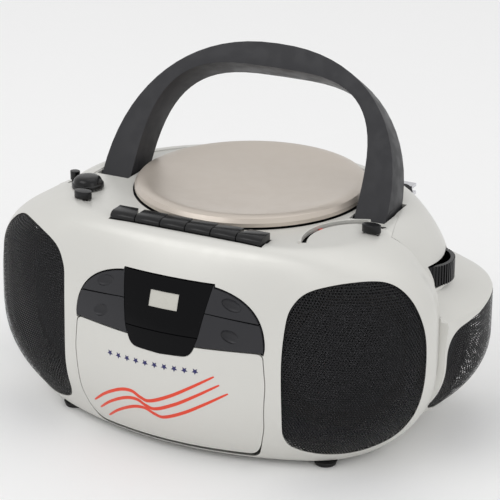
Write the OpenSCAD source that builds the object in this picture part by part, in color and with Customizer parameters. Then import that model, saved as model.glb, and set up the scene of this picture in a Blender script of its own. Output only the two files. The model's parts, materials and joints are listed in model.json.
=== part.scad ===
// Portable stereo with a cassette deck, a top-loading disc player and a radio.
// X runs across the front, -Y faces the listener, +Z is up. The origin is on
// the table, under the middle of the case. All sizes are in millimetres.

/* [Overall size] */
// Width across the two front speaker pods
body_w = 336; // [280:1:404]
// Depth of the case from the cassette door to the back wall
body_d = 225; // [187:1:270]
// Height of the top deck above the table
deck_h = 151; // [126:1:182]
// Thickness of the moulded case
wall = 2.6; // [1.8:0.1:3.2]
// Height of the rubber feet below the case
foot_h = 3; // [2:0.5:4]

/* [Carrying handle] */
// Height of the arch above its pivots
handle_reach = 110; // [92:1:132]
// Front-to-back thickness of the arch
handle_t = 24; // [18:1:26]
// Angle of the resting handle behind upright
handle_lean = 32; // [20:1:36]
// Radius of the handle pivot pins
pivot_r = 3; // [2.4:0.1:3.8]

/* [Keys and knobs] */
// Distance from one piano key to the next
key_pitch = 18.5; // [15.5:0.5:19]
// Radius of the shaft the keys turn on
key_shaft_r = 1.5; // [1.2:0.1:1.8]
// Radius of the volume knob
volume_r = 11; // [9:0.5:13]
// Radius of the tuning thumbwheel
wheel_r = 22; // [18:0.5:24]
// Running clearance on each pin in its bore
run_gap = 0.06; // [0.02:0.01:0.09]
// Gap around each button, key and door
edge_gap = 0.6; // [0.4:0.05:0.9]

/* [Speakers] */
// Radius of the front driver frames
front_driver_r = 39; // [32:0.5:42]
// Radius of the rear driver frames
rear_driver_r = 31; // [26:0.5:34]

/* [Tape and disc] */
// Width of a standard cassette
tape_w = 100.4; // [100.4:0.1:100.6]
// Height of a standard cassette
tape_h = 63.8; // [63.8:0.1:64]
// Distance between the two reel spindles
reel_pitch = 42.5; // [42.5:0.1:42.6]
// Radius of a standard disc
disc_r = 60; // [60:0.5:60]
// Radius of the disc lid
lid_r = 80; // [67:1:81]

/* [Antenna] */
// Radius of the thickest antenna tube
antenna_r = 3.4; // [3:0.1:4]
// Length of the stowed antenna
antenna_len = 150; // [120:1:160]

/* [Hidden] */
$fn = 48;
kx = body_w / 336;
ky = body_d / 225;
kz = deck_h / 151;
seam_y = -22 * ky;
top_seam_y = 8 * ky;
seam_gap = 0.3;
eps = 0.05;
// disc player
lid_y = 16 * ky;
lid_top = deck_h + 7;
lid_t = 2.2;
well_r = lid_r - 8;
well_floor = deck_h - 13;
lid_hinge = [94 * ky, deck_h - 1.5];
rail_x = [16, 63];
rail_y = 15;
rail_z = well_floor - 9;
rail_r = 1.5;
spindle_r = 1.5;
// keys
key_n = 6;
key_w = key_pitch - edge_gap;
key_front = -80 * ky;
key_back = -67 * ky;
key_top = deck_h + 4.5;
key_bottom = deck_h - 6;
key_drop = 2.5;
key_axis = [-61.5 * ky, deck_h - 8.5];
key_boss_r = key_shaft_r + 1.9;
key_half = key_n * key_pitch / 2;
cheek_t = 2.6;
// cassette door and control cluster
door_half = 70 * kx;
door_low = 9.6 * kz;
door_top = 87.5 * kz;
door_t = 2.4;
door_swing = 3;
door_axis = [-90 * ky, 13 * kz];
split_z = 94 * kz;
shield_top = 127.6 * kz;
cluster_gap_z = [106.3 * kz, 110.4 * kz];
bezel_d = 4.6;
tape_low = 20 * kz;
tape_mid_y = -89 * ky;
reel_z = tape_low + 33;
chassis_y = tape_mid_y + 12;
chassis_t = 2;
shelf_z = deck_h - 35;
hinge_r = 1.5;
door_hinge_x = 34 * kx;
lid_hinge_x = 14 * kx;
// handle
leg_half = 96.2 * kx;
leg_w = 22 * kx;
pivot_y = 7 * ky;
pivot_z = deck_h - 9;
slot_gap = 1.5;
slot_front = pivot_y - 15;
slot_back = pivot_y + 23;
bracket_t = 2.2;
// knobs on the deck
volume_xy = [-99 * kx, -36 * ky];
function_xy = [-90 * kx, -57 * ky];
tone_xy = [-114 * kx, -28 * ky];
band_xy = [108 * kx, -27 * ky];
dial_xy = [110 * kx, -46 * ky];
dial_r = 37 * kx;
dial_a = [112, 200];
knob_travel = 3;
wheel_xy = [127 * kx, 14 * ky];
wheel_z = [110 * kz, 124 * kz];
// speakers
pod_a = 37;
pod_c = [109 * kx, -66 * ky, 79 * kz];
side_c = [137 * kx, 26 * ky, 62 * kz];
baffle_t = 2.5;
// antenna
ant = [77 * kx, 108 * ky + 1, 131 * kz];
ant_step = 0.75;
ant_tip = 7;
// underside
batt_half = 76 * kx;
batt_y = [16 * ky, 72 * ky];
batt_slide = 6;
post_x = 88 * kx;
post_z = [24 * kz, 117 * kz];
post_r = 4.5;

// ---- outer form ----
AF = 4;
BF = 2.55;
function cl(t) = max(0, min(1, t));
// the rear pods end in a shelf, above which the rear case is narrower and rounder
function shelf(h) = let (t = cl((h - 93) / 15)) t * t * (3 - 2 * t);
function a_rear(z) = 3.4 - 1.2 * shelf(z / kz);
function b_rear(z) = 2.9 - 0.9 * shelf(z / kz);
function w_front(z) = let (h = z / kz)
  kx * (168 - 48 * pow(cl((74 - h) / 74), 2.4) - 52 * pow(cl((h - 80) / 71), 4.4));
function d_front(z) = let (h = z / kz)
  ky * (103 - 20 * pow(cl((60 - h) / 60), 2.3) - 18 * pow(cl((h - 60) / 91), 2.6));
function belly(z) = let (h = z / kz) ky * 14 * cl(1 - pow((h - 62) / 100, 2));
function w_rear(z) = let (h = z / kz)
  kx * (171 - 60 * pow(cl((66 - h) / 66), 2.3) - 24 * shelf(h) - 28 * pow(cl((h - 106) / 45), 2.2));
function d_rear(z) = let (h = z / kz)
  ky * (108 - 24 * pow(cl((60 - h) / 60), 2.2) - 7 * pow(cl((h - 70) / 81), 2.4));
function bump(x) = pow(cl(1 - pow(x / kx / 90, 2)), 2);
function low_fade(z) = cl(z / kz / 30) * cl((151 - z / kz) / 18);
function waist_f(y, z) = kx * 12 * exp(-pow((y / ky + 22) / 15, 2)) * low_fade(z);
function waist_r(y, z) = kx * 12 * (1 - 0.7 * cl((z / kz - 75) / 76))
  * exp(-pow((y / ky + 22) / 22, 2)) * low_fade(z);
function y_front(x, z) = -d_front(z) * pow(cl(1 - pow(cl(abs(x) / w_front(z)), AF)), 1 / BF)
  - belly(z) * bump(x);

nf = 16;
nr = 13;
function front_pt(i, z, o) = let (d = d_front(z) - o, w = w_front(z) - o,
    tmax = acos(pow(-seam_y / d, BF / 2)), t = tmax * pow(i / nf, 1.6),
    x0 = w * pow(sin(t), 2 / AF), y0 = -d * pow(cos(t), 2 / BF),
    x = x0 - waist_f(y0, z))
  [x, y0 - belly(z) * bump(x)];
function rear_pt(j, z, o) = let (d = d_rear(z) - o, w = w_rear(z) - o,
    t = 90 * (1 - pow(1 - j / nr, 1.6)),
    y = d * pow(sin(t), 2 / b_rear(z)))
  [w * pow(max(0, cos(t)), 2 / a_rear(z)) - (j == nr ? 0 : waist_r(y, z)), y];
function side_pt(y, z, o) = [w_rear(z) - o - waist_r(y, z), y];
function half_ring(z, o) = concat([for (i = [0 : nf]) front_pt(i, z, o)],
  [side_pt(seam_y + 0.4, z, o), side_pt(seam_y / 2, z, o)],
  [for (j = [0 : nr]) rear_pt(j, z, o)]);
function ring(z, o) = let (h = half_ring(z, o), n = len(h))
  concat(h, [for (i = [n - 2 : -1 : 1]) [-h[i][0], h[i][1]]]);
levels = [0, 0.014, 0.035, 0.075, 0.13, 0.21, 0.32, 0.43, 0.54, 0.61, 0.64, 0.665, 0.69, 0.715,
  0.76, 0.82, 0.88, 0.925, 0.96, 0.985, 1];

// The case as one closed form, drawn in by o on every side.
module form(o = 0) {
  z0 = foot_h + o;
  z1 = deck_h - o;
  rows = [for (f = levels) let (z = z0 + f * (z1 - z0), s = z + o * (2 * f - 1))
    [for (p = ring(s, o)) [p[0], p[1], z]]];
  n = len(rows[0]);
  m = len(rows);
  pts = [for (r = rows) for (p = r) p];
  polyhedron(pts, concat(
    [[for (i = [0 : n - 1]) i]],
    [[for (i = [n - 1 : -1 : 0]) (m - 1) * n + i]],
    [for (k = [0 : m - 2]) for (i = [0 : n - 1]) let (j = (i + 1) % n)
      [k * n + i, (k + 1) * n + j, k * n + j]],
    [for (k = [0 : m - 2]) for (i = [0 : n - 1]) let (j = (i + 1) % n)
      [k * n + i, (k + 1) * n + i, (k + 1) * n + j]]), convexity = 6);
}

// Plan of everything in front of the seam, moved by g.
module seam_plan(g = 0) {
  e = body_w;
  polygon([[-e, -e], [e, -e], [e, seam_y + g], [120 * kx, seam_y + g],
    [112 * kx, top_seam_y + g], [-112 * kx, top_seam_y + g], [-120 * kx, seam_y + g],
    [-e, seam_y + g]]);
}

module front_half() {
  translate([0, 0, -10])
    linear_extrude(deck_h + 40) seam_plan(0);
}

module rear_half() {
  translate([0, 0, -10])
    linear_extrude(deck_h + 40)
      difference() {
        square(3 * body_w, center = true);
        seam_plan(seam_gap);
      }
}

// Slab that follows the front surface from depth a to depth b.
module front_slab(a, b, x0, x1, z0, z1, nx = 14, nz = 7) {
  pts = [for (d = [a, b]) for (k = [0 : nz]) for (i = [0 : nx])
    let (x = x0 + (x1 - x0) * i / nx, z = z0 + (z1 - z0) * k / nz) [x, y_front(x, z) + d, z]];
  s = (nx + 1) * (nz + 1);
  function id(l, i, k) = l * s + k * (nx + 1) + i;
  polyhedron(pts, concat(
    [for (k = [0 : nz - 1]) for (i = [0 : nx - 1]) [id(0, i, k), id(0, i, k + 1), id(0, i + 1, k)]],
    [for (k = [0 : nz - 1]) for (i = [0 : nx - 1])
      [id(0, i + 1, k), id(0, i, k + 1), id(0, i + 1, k + 1)]],
    [for (k = [0 : nz - 1]) for (i = [0 : nx - 1]) [id(1, i, k), id(1, i + 1, k), id(1, i, k + 1)]],
    [for (k = [0 : nz - 1]) for (i = [0 : nx - 1])
      [id(1, i + 1, k), id(1, i + 1, k + 1), id(1, i, k + 1)]],
    [for (i = [0 : nx - 1]) [id(0, i, 0), id(0, i + 1, 0), id(1, i + 1, 0), id(1, i, 0)]],
    [for (i = [0 : nx - 1]) [id(0, i + 1, nz), id(0, i, nz), id(1, i, nz), id(1, i + 1, nz)]],
    [for (k = [0 : nz - 1]) [id(0, 0, k + 1), id(0, 0, k), id(1, 0, k), id(1, 0, k + 1)]],
    [for (k = [0 : nz - 1]) [id(0, nx, k), id(0, nx, k + 1), id(1, nx, k + 1), id(1, nx, k)]]),
    convexity = 4);
}

// A flat outline in X and Z carried through the front of the case.
module front_cut() {
  translate([0, -30 * ky, 0])
    rotate([90, 0, 0]) linear_extrude(body_d) children();
}

// ---- outlines on the front ----
function cluster_pt(a) = [door_half * (0.965 * pow(sin(a), 0.62) + 0.02 * sin(a)),
  door_top + (shield_top - door_top) * pow(max(0, cos(a)), 0.8)];
module cluster_shape() {
  q = [for (a = [90 : -9 : 18]) cluster_pt(a)];
  polygon(concat(q, [[33 * kx, shield_top]], [[-33 * kx, shield_top]],
    [for (i = [len(q) - 1 : -1 : 0]) [-q[i][0], q[i][1]]]));
}

module shield_shape() {
  polygon([[33 * kx, shield_top + 5], [26.3 * kx, split_z], [22.6 * kx, 84 * kz],
    [19 * kx, 81 * kz], [0, 80 * kz], [-19 * kx, 81 * kz], [-22.6 * kx, 84 * kz],
    [-26.3 * kx, split_z], [-33 * kx, shield_top + 5]]);
}

module door_shape(g = 0) {
  low = door_low - (g > 0 ? door_swing : 0);
  polygon([[door_half - 2 * kx + g, door_top + g], [door_half + g, 66 * kz],
    [door_half - 2 * kx + g, 34 * kz], [door_half - 6 * kx + g, 20 * kz],
    [door_half - 10 * kx + g, low + 3], [door_half - 14 * kx, low],
    [14 * kx - door_half, low], [10 * kx - door_half - g, low + 3],
    [6 * kx - door_half - g, 20 * kz], [2 * kx - door_half - g, 34 * kz],
    [-door_half - g, 66 * kz], [2 * kx - door_half - g, door_top + g]]);
}

module above(z) {
  translate([-body_w, z]) square([2 * body_w, body_w]);
}

module right_of(x) {
  translate([x, -body_w]) square([body_w, 3 * body_w]);
}

module gap_line_upper(g) {
  polygon([[0, cluster_gap_z[1] + g + 1], [32 * kx, cluster_gap_z[1] + g],
    [80 * kx, cluster_gap_z[0] + g - 1], [80 * kx, 3 * body_w], [0, 3 * body_w]]);
}

// Grille outline on a pod: u runs outward along the pod, v is height.
module pod_shape(g = 0) {
  offset(delta = g)
    polygon([[-43 * kx, 40 * kz], [-44 * kx, 80 * kz], [-41 * kx, 108 * kz],
      [-36 * kx, 121 * kz], [-26 * kx, 130 * kz], [-8 * kx, 135 * kz], [12 * kx, 136 * kz],
      [26 * kx, 133 * kz], [36 * kx, 125 * kz], [43 * kx, 112 * kz], [47 * kx, 96 * kz],
      [47.5 * kx, 76 * kz], [45 * kx, 56 * kz], [39 * kx, 38 * kz], [28 * kx, 24 * kz],
      [8 * kx, 16 * kz], [-14 * kx, 15 * kz], [-32 * kx, 19 * kz], [-40 * kx, 26 * kz]]);
}

module pod_cut() {
  translate([pod_c[0], pod_c[1], 0])
    rotate([0, 0, pod_a])
      translate([0, -4, 0])
        rotate([90, 0, 0]) linear_extrude(70 * kx) children();
}

// Grille outline on the side: u is depth, v is height.
module side_shape(g = 0) {
  offset(delta = g)
    polygon([[-16 * ky, 76 * kz], [-17.5 * ky, 64 * kz], [-17 * ky, 44 * kz], [-13 * ky, 30 * kz],
      [-2 * ky, 24 * kz], [30 * ky, 21 * kz], [56 * ky, 24 * kz], [76 * ky, 36 * kz],
      [87 * ky, 56 * kz], [86 * ky, 76 * kz], [76 * ky, 88 * kz], [56 * ky, 93 * kz],
      [22 * ky, 93 * kz], [-3 * ky, 89 * kz], [-12 * ky, 84 * kz]]);
}

module side_cut() {
  translate([118 * kx, 0, 0])
    rotate([90, 0, 90]) linear_extrude(80 * kx) children();
}

module both_sides() {
  children();
  mirror([1, 0, 0]) children();
}

module bolt_y(r, y0, y1) {
  translate([0, y1, 0]) rotate([90, 0, 0]) cylinder(r = r, h = y1 - y0);
}

module bar_x(r, x0, x1) {
  translate([x0, 0, 0]) rotate([0, 90, 0]) cylinder(r = r, h = x1 - x0);
}

module box(a, b) {
  translate(a) cube(b - a);
}

// ---- case ----
module handle_slots() {
  both_sides()
    box([leg_half - leg_w / 2 - slot_gap, slot_front, pivot_z - 2],
      [leg_half + leg_w / 2 + slot_gap, slot_back, deck_h + 9]);
}

module deck_holes() {
  translate([volume_xy[0], volume_xy[1], deck_h - 20]) cylinder(r = 4, h = 40, $fn = 20);
  for (p = [function_xy, tone_xy, band_xy])
    translate([p[0], p[1], deck_h]) cube([knob_travel * 2 + 5, 3.6, 14], center = true);
  translate([dial_xy[0], dial_xy[1], deck_h - 12])
    linear_extrude(20)
      polygon(concat(
        [for (a = [dial_a[0] - 4 : 8 : dial_a[1] + 4]) (dial_r + 1.6) * [cos(a), sin(a)]],
        [for (a = [dial_a[1] + 4 : -8 : dial_a[0] - 4]) (dial_r - 1.6) * [cos(a), sin(a)]]));
  box([-key_half - edge_gap, key_front - 1.1, key_bottom - key_drop],
    [key_half + edge_gap, key_back + edge_gap, deck_h + 9]);
}

module screw_posts(y0, y1, r) {
  both_sides()
    for (z = post_z)
      translate([post_x, 0, z]) bolt_y(r, y0, y1);
}

module front_cabinet() {
  color([0.82, 0.82, 0.8])
    resize([0, 0, 0])
      difference() {
        intersection() {
          form(0);
          front_half();
        }
        difference() {
          form(wall);
          screw_posts(-body_d, body_d, post_r, $fn = 16);
        }
        front_cut() door_shape(edge_gap);
        front_cut() offset(delta = edge_gap) cluster_shape();
        both_sides() pod_cut() pod_shape(0.3);
        translate([0, lid_y, deck_h - 12]) cylinder(r = lid_r + 2 * edge_gap, h = 30, $fn = 72);
        handle_slots();
        deck_holes();
        screw_posts(-30, body_d, 1.7, $fn = 12);
      }
}

module rear_cabinet() {
  color([0.8, 0.8, 0.78])
    resize([0, 0, 0])
      difference() {
        intersection() {
          form(0);
          rear_half();
        }
        difference() {
          form(wall);
          screw_posts(-body_d, body_d, post_r, $fn = 16);
        }
        both_sides() side_cut() side_shape(0.3);
        translate([0, lid_y, deck_h - 12]) cylinder(r = lid_r + 2 * edge_gap, h = 30, $fn = 72);
        handle_slots();
        translate([wheel_xy[0], wheel_xy[1], wheel_z[0] - 1])
          cylinder(r = wheel_r + 1, h = wheel_z[1] - wheel_z[0] + 2, $fn = 36);
        box([-batt_half, batt_y[0], -5], [batt_half, batt_y[1] - batt_slide - 2, 20]);
        box([-batt_half - 2, batt_y[0] - 2, -5],
          [batt_half + 2, batt_y[1] + 2, foot_h + 1.5]);
        screw_posts(-body_d, body_d, 1.8, $fn = 12);
        screw_posts(40 * ky, body_d, 3.7, $fn = 16);
        translate([-60 * kx, 0, 36 * kz]) box([-11.3, 60 * ky, -7.8], [11.3, 140 * ky, 7.8]);
        both_sides() translate([lid_hinge_x, 0, 0]) {
          box([-5.5, lid_hinge[0] - 8, lid_hinge[1] - 8], [5.5, lid_hinge[0] + 4.2, deck_h + 5]);
          box([-8.7, lid_hinge[0] - 3.4, lid_hinge[1] - 8],
            [8.7, lid_hinge[0] + 2.4, deck_h + 5]);
        }
        translate([ant[0], 0, ant[2]]) bolt_y(6, 60 * ky, 140 * ky, $fn = 20);
      }
}

module battery_door() {
  color([0.78, 0.78, 0.76]) {
    box([-batt_half - 1.6, batt_y[0] - 1.6, foot_h],
      [batt_half + 1.6, batt_y[1] - batt_slide + 1, foot_h + 1.4]);
    for (x = [-1, 1])
      box([x * 30 * kx - 9, batt_y[0] + 0.6, foot_h + 1.4],
        [x * 30 * kx + 9, batt_y[0] + 2.2, foot_h + wall + 2]);
  }
}

module battery_box() {
  color([0.25, 0.25, 0.26])
    difference() {
      box([-batt_half - 3, batt_y[0] - 3, foot_h + wall + 0.1],
        [batt_half + 3, batt_y[1] + 3, 42 * kz]);
      box([-batt_half - 1.4, batt_y[0] - 1.4, 0],
        [batt_half + 1.4, batt_y[1] + 1.4, 42 * kz - 1.6]);
    }
}

module rubber_feet() {
  color([0.08, 0.08, 0.08])
    for (x = [-1, 1])
      for (y = [-66 * ky, 64 * ky])
        translate([x * 96 * kx, y, 0]) cylinder(r1 = 7, r2 = 8, h = foot_h);
}

module case_screws() {
  color([0.6, 0.6, 0.62])
    both_sides()
      for (z = post_z)
        translate([post_x, 0, z]) {
          bolt_y(3.2, 40 * ky, 40 * ky + 2.4);
          bolt_y(1.4, -12 * ky, 40 * ky + 0.1);
        }
}

// ---- speakers ----
module on_pod() {
  translate(pod_c)
    rotate([0, 0, pod_a]) rotate([90, 0, 0]) children();
}

module on_side() {
  translate(side_c) rotate([0, 90, 0]) children();
}

module pod_grille() {
  color([0.06, 0.06, 0.07])
    resize([0, 0, 0])
      intersection() {
        difference() {
          form(0.5);
          form(2);
        }
        pod_cut() pod_shape(0);
        front_half();
      }
}

module side_grille() {
  color([0.06, 0.06, 0.07])
    resize([0, 0, 0])
      intersection() {
        difference() {
          form(0.5);
          form(2);
        }
        side_cut() side_shape(0);
        rear_half();
      }
}

module front_grilles() {
  both_sides() pod_grille();
}

module rear_grilles() {
  both_sides() side_grille();
}

module baffle(r, w, h0, h1) {
  difference() {
    intersection() {
      translate([-w / 2, h0, -baffle_t]) cube([w, h1 - h0, baffle_t]);
      translate([0, 0, -baffle_t]) cylinder(r = r + 10, h = baffle_t);
    }
    translate([0, 0, -baffle_t - 1]) cylinder(r = r - 3.5, h = baffle_t + 2);
  }
}

module speaker_baffles() {
  color([0.12, 0.12, 0.12])
    difference() {
      both_sides() {
        on_pod() baffle(front_driver_r, 80 * kx, -49 * kz, 43 * kz);
        on_side() rotate([0, 0, 90]) baffle(rear_driver_r, 67 * ky, -33 * kz, 33 * kz);
      }
      screw_posts(-body_d, body_d, post_r + 0.6);
    }
}

// Steel basket and magnet behind the baffle, opening along +Z.
module driver(r) {
  translate([0, 0, -baffle_t])
    rotate_extrude()
      polygon([[0, -0.75 * r], [0.62 * r, -0.75 * r], [0.62 * r, -0.42 * r], [0.7 * r, -0.42 * r],
        [0.9 * r, -2], [r, -2], [r, 0], [r - 4, 0], [0.66 * r, -0.38 * r], [0, -0.38 * r]]);
}

// Paper cone, dust cap and foam edge in front of the baffle.
module cone(r) {
  rotate_extrude()
    polygon([[0, -0.2 * r], [0.2 * r, -0.24 * r], [0.25 * r, -0.3 * r], [r - 7, -1.4],
      [r - 4.5, 0.2], [r - 1, 0.2], [r - 1, 1.4], [r - 4.5, 2.2], [r - 7.5, 1.2], [0.3 * r, -0.16 * r],
      [0.2 * r, -0.12 * r], [0, -0.06 * r]]);
}

module front_drivers() {
  color([0.35, 0.35, 0.37]) both_sides() on_pod() driver(front_driver_r);
}

module rear_drivers() {
  color([0.35, 0.35, 0.37]) both_sides() on_side() driver(rear_driver_r);
}

module speaker_cones() {
  color([0.1, 0.1, 0.1])
    both_sides() {
      on_pod() translate([0, 0, 0]) cone(front_driver_r);
      on_side() cone(rear_driver_r);
    }
}

// ---- cassette bay ----
module cassette_door() {
  color([0.84, 0.84, 0.82])
    resize([0, 0, 0]) {
      intersection() {
        front_slab(0, door_t, -76 * kx, 76 * kx, 4 * kz, 92 * kz, 16, 10);
        front_cut()
          difference() {
            door_shape(0);
            offset(delta = 0.3) shield_shape();
          }
      }
      for (x = [-1, 1])
        difference() {
          translate([x * door_hinge_x, 0, 0])
            intersection() {
              hull() {
                translate([0, door_axis[0], door_axis[1]]) bar_x(3.4, -4, 4, $fn = 24);
                box([-4, y_front(door_hinge_x, 16 * kz) + 1, 14 * kz],
                  [4, y_front(door_hinge_x, 16 * kz) + 3, tape_low - 2.2]);
              }
            }
          translate([0, door_axis[0], door_axis[1]]) bar_x(hinge_r + 0.08, -body_w, body_w, $fn = 48);
        }
    }
}

module door_blocks() {
    for (x = [-1, 1])
      for (s = [-1, 1])
        translate([x * door_hinge_x + s * 6.2, door_axis[0], 0])
          difference() {
            union() {
              box([-1.4, -2.4, door_axis[1] - 2.4], [1.4, 5.4, door_axis[1] + 3]);
              box([-1.4, 2.8, foot_h + wall + 0.1], [1.4, 5.4, door_axis[1]]);
            }
            translate([0, 0, door_axis[1]]) bar_x(hinge_r + 0.02, -5, 5);
          }
}

module cassette_window() {
  color([0.03, 0.03, 0.03])
    resize([0, 0, 0])
      intersection() {
        front_slab(-0.4, door_t - 0.6, -40 * kx, 40 * kx, 74 * kz, 98 * kz, 8, 4);
        front_cut()
          difference() {
            shield_shape();
            above(split_z - 0.3);
          }
      }
}

module cassette_holder() {
  color([0.1, 0.1, 0.1]) {
    both_sides()
      box([tape_w / 2 + 0.6, tape_mid_y - 6.5, tape_low - 1.5],
        [tape_w / 2 + 2.2, tape_mid_y + 6.5, tape_low + 46]);
    box([-tape_w / 2 - 0.6, tape_mid_y - 6.5, tape_low - 1.5],
      [tape_w / 2 + 0.6, tape_mid_y + 6.5, tape_low - 0.2]);
  }
}

module tape_chassis() {
  color([0.55, 0.56, 0.58])
    difference() {
      union() {
        box([-62 * kx, chassis_y, 10 * kz], [62 * kx, chassis_y + chassis_t, shelf_z]);
        box([-62 * kx, chassis_y, shelf_z - 2], [62 * kx, -42 * ky, shelf_z]);
        for (x = [-key_half - cheek_t, key_half])
          box([x, key_axis[0] - 4.5, shelf_z - 1],
            [x + cheek_t, key_axis[0] + 4.5, key_axis[1] + 3.6]);
      }
      translate([0, key_axis[0], key_axis[1]]) bar_x(key_shaft_r + 0.02, -body_w, body_w);
      for (x = [-1, 1])
        translate([x * reel_pitch / 2, 0, reel_z]) bolt_y(2.2 + run_gap, -body_d, 0);
      translate([capstan[0], 0, capstan[1]]) bolt_y(3.5 + run_gap, -body_d, 0);
      translate([roller[0], 0, roller[1]]) bolt_y(roller_pin_r + 0.02, -body_d, 0);
      translate([motor[0], 0, motor[1]]) bolt_y(4, -body_d, 0);
    }
}

capstan = [reel_pitch / 2 + 9, tape_low + 58];
roller = [reel_pitch / 2 + 22, tape_low + 69];
roller_pin_r = 1;
motor = [-34 * kx, 84 * kz];

module reel_hub() {
  bolt_y(2.2, chassis_y - 1, chassis_y + chassis_t + 4);
  bolt_y(11, chassis_y - 3.4, chassis_y - 0.8);
  difference() {
    bolt_y(4.6, tape_mid_y - 5, chassis_y - 3.3);
    bolt_y(1.6, tape_mid_y - 6, tape_mid_y + 4);
  }
  for (a = [0 : 60 : 300])
    rotate([0, a, 0]) box([3.4, tape_mid_y - 4, -0.5], [5.3, chassis_y - 3.3, 0.5]);
  bolt_y(9, chassis_y + chassis_t + 0.8, chassis_y + chassis_t + 4);
}

module supply_reel_hub() {
  color([0.9, 0.9, 0.88]) translate([-reel_pitch / 2, 0, reel_z]) reel_hub();
}

module take_up_reel_hub() {
  color([0.9, 0.9, 0.88]) translate([reel_pitch / 2, 0, reel_z]) reel_hub();
}

module capstan_flywheel() {
  color([0.7, 0.66, 0.5])
    translate([capstan[0], 0, capstan[1]]) {
      bolt_y(1.25, tape_mid_y - 5, chassis_y);
      bolt_y(3.5, chassis_y - 1, chassis_y + chassis_t + 6.2);
      bolt_y(19, chassis_y + chassis_t + 6, chassis_y + chassis_t + 11);
    }
}

module tape_motor() {
  color([0.62, 0.63, 0.65])
    translate([motor[0], 0, motor[1]]) {
      bolt_y(17, chassis_y + chassis_t + 1.2 * 0, chassis_y + chassis_t + 24);
    }
}

module head_bridge() {
  color([0.72, 0.72, 0.74]) {
    box([-20, chassis_y - 2.4, head_z], [24, chassis_y - 0.6, head_z + 12]);
    box([-6.5, tape_mid_y - 4.5, head_z + 1], [6.5, chassis_y - 2.4, head_z + 11]);
    box([-19, tape_mid_y - 3.5, head_z + 2], [-12.5, chassis_y - 2.4, head_z + 10]);
  }
}

head_z = tape_low + tape_h + 3;

module pinch_roller() {
  color([0.06, 0.06, 0.06])
    translate([roller[0], 0, roller[1]]) {
      difference() {
        bolt_y(3.4, tape_mid_y - 4.8, chassis_y - 2.8);
        bolt_y(roller_pin_r + run_gap, -body_d, 0);
      }
    }
}

// ---- control cluster ----
module cluster_part(a, b, g) {
  intersection() {
    front_slab(a, b, -76 * kx, 76 * kx, 80 * kz, 134 * kz, 16, 8);
    front_cut() children();
  }
}

module button_shape(upper) {
  offset(delta = -edge_gap / 2)
    intersection() {
      difference() {
        cluster_shape();
        shield_shape();
      }
      right_of(0);
      if (upper)
        gap_line_upper(edge_gap);
      else
        difference() {
          above(door_top + 2 * edge_gap);
          gap_line_upper(-edge_gap);
        }
    }
}

module cd_button(upper) {
  c = upper ? [46.5 * kx, 117.4 * kz] : [48 * kx, 97.6 * kz];
  color([0.16, 0.16, 0.18]) {
    resize([0, 0, 0])
      cluster_part(-0.7, 2.4) button_shape(upper);
    translate([c[0], 0, c[1]])
      bolt_y(stem_r, y_front(c[0], c[1]) + 2, y_front(c[0], c[1]) + bezel_d + 4);
  }
}

stem_r = 2.5;

module upper_right_button() {
  cd_button(true);
}

module lower_right_button() {
  cd_button(false);
}

module upper_left_button() {
  mirror([1, 0, 0]) cd_button(true);
}

module lower_left_button() {
  mirror([1, 0, 0]) cd_button(false);
}

module button_bezel() {
  color([0.07, 0.07, 0.08])
    resize([0, 0, 0])
      difference() {
        cluster_part(bezel_d, bezel_d + 1.8) offset(delta = 4) cluster_shape();
        both_sides() {
          translate([46.5 * kx, 0, 117.4 * kz]) bolt_y(stem_r + 0.3, -body_d, 0, $fn = 20);
          translate([48 * kx, 0, 97.6 * kz]) bolt_y(stem_r + 0.3, -body_d, 0, $fn = 20);
        }
        front_cut() translate([-14 * kx, 103 * kz]) square([28 * kx, 20 * kz]);
      }
}

module display_lens() {
  color([0.03, 0.03, 0.03])
    resize([0, 0, 0])
      cluster_part(-0.4, 2)
        intersection() {
          offset(delta = -edge_gap / 2) shield_shape();
          cluster_shape();
          above(split_z + 0.3);
        }
}

module lcd_module() {
  color([0.62, 0.62, 0.56])
    translate([0, y_front(0, 113 * kz) + bezel_d + 4.6, 113 * kz])
      rotate([-24, 0, 0]) cube([25 * kx, 2.4, 17 * kz], center = true);
}

// ---- piano keys ----
module piano_key(i) {
  x = (i - (key_n - 1) / 2) * key_pitch;
  s = i == 0 ? 1 : i == key_n - 1 ? -1 : 0;
  color([0.05, 0.05, 0.06])
    translate([x, 0, 0])
      difference() {
        union() {
          intersection() {
            rotate([90, 0, 90])
              translate([0, 0, -key_w / 2])
                linear_extrude(key_w)
                  polygon([[key_front, key_bottom], [key_front, key_top - 2.2],
                    [key_front + 2, key_top - 0.4], [key_front + 4, key_top], [key_back, key_top],
                    [key_back, key_bottom]]);
            if (s != 0)
              linear_extrude(2 * deck_h)
                polygon([[-s * key_w, key_front - 9], [-s * key_w, key_back + 9],
                  [s * (key_w / 2 - 5), key_back + 9], [s * (key_w / 2 - 4), key_back],
                  [s * key_w / 2, key_front + 4], [s * key_w / 2, key_front - 9]]);
          }
          box([-4, key_back - 4, key_axis[1] - 1.8], [4, key_axis[0], key_axis[1] + 1.8]);
          box([-4, key_back - 4, key_axis[1] - 1.8], [4, key_back, key_bottom + 1]);
          translate([0, key_axis[0], key_axis[1]]) bar_x(key_boss_r, -5, 5);
        }
        translate([0, key_axis[0], key_axis[1]]) bar_x(key_shaft_r + run_gap, -9, 9);
      }
}

module key_record() {
  piano_key(0);
}

module key_play() {
  piano_key(1);
}

module key_rewind() {
  piano_key(2);
}

module key_fast_forward() {
  piano_key(3);
}

module key_stop_eject() {
  piano_key(4);
}

module key_pause() {
  piano_key(5);
}

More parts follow.
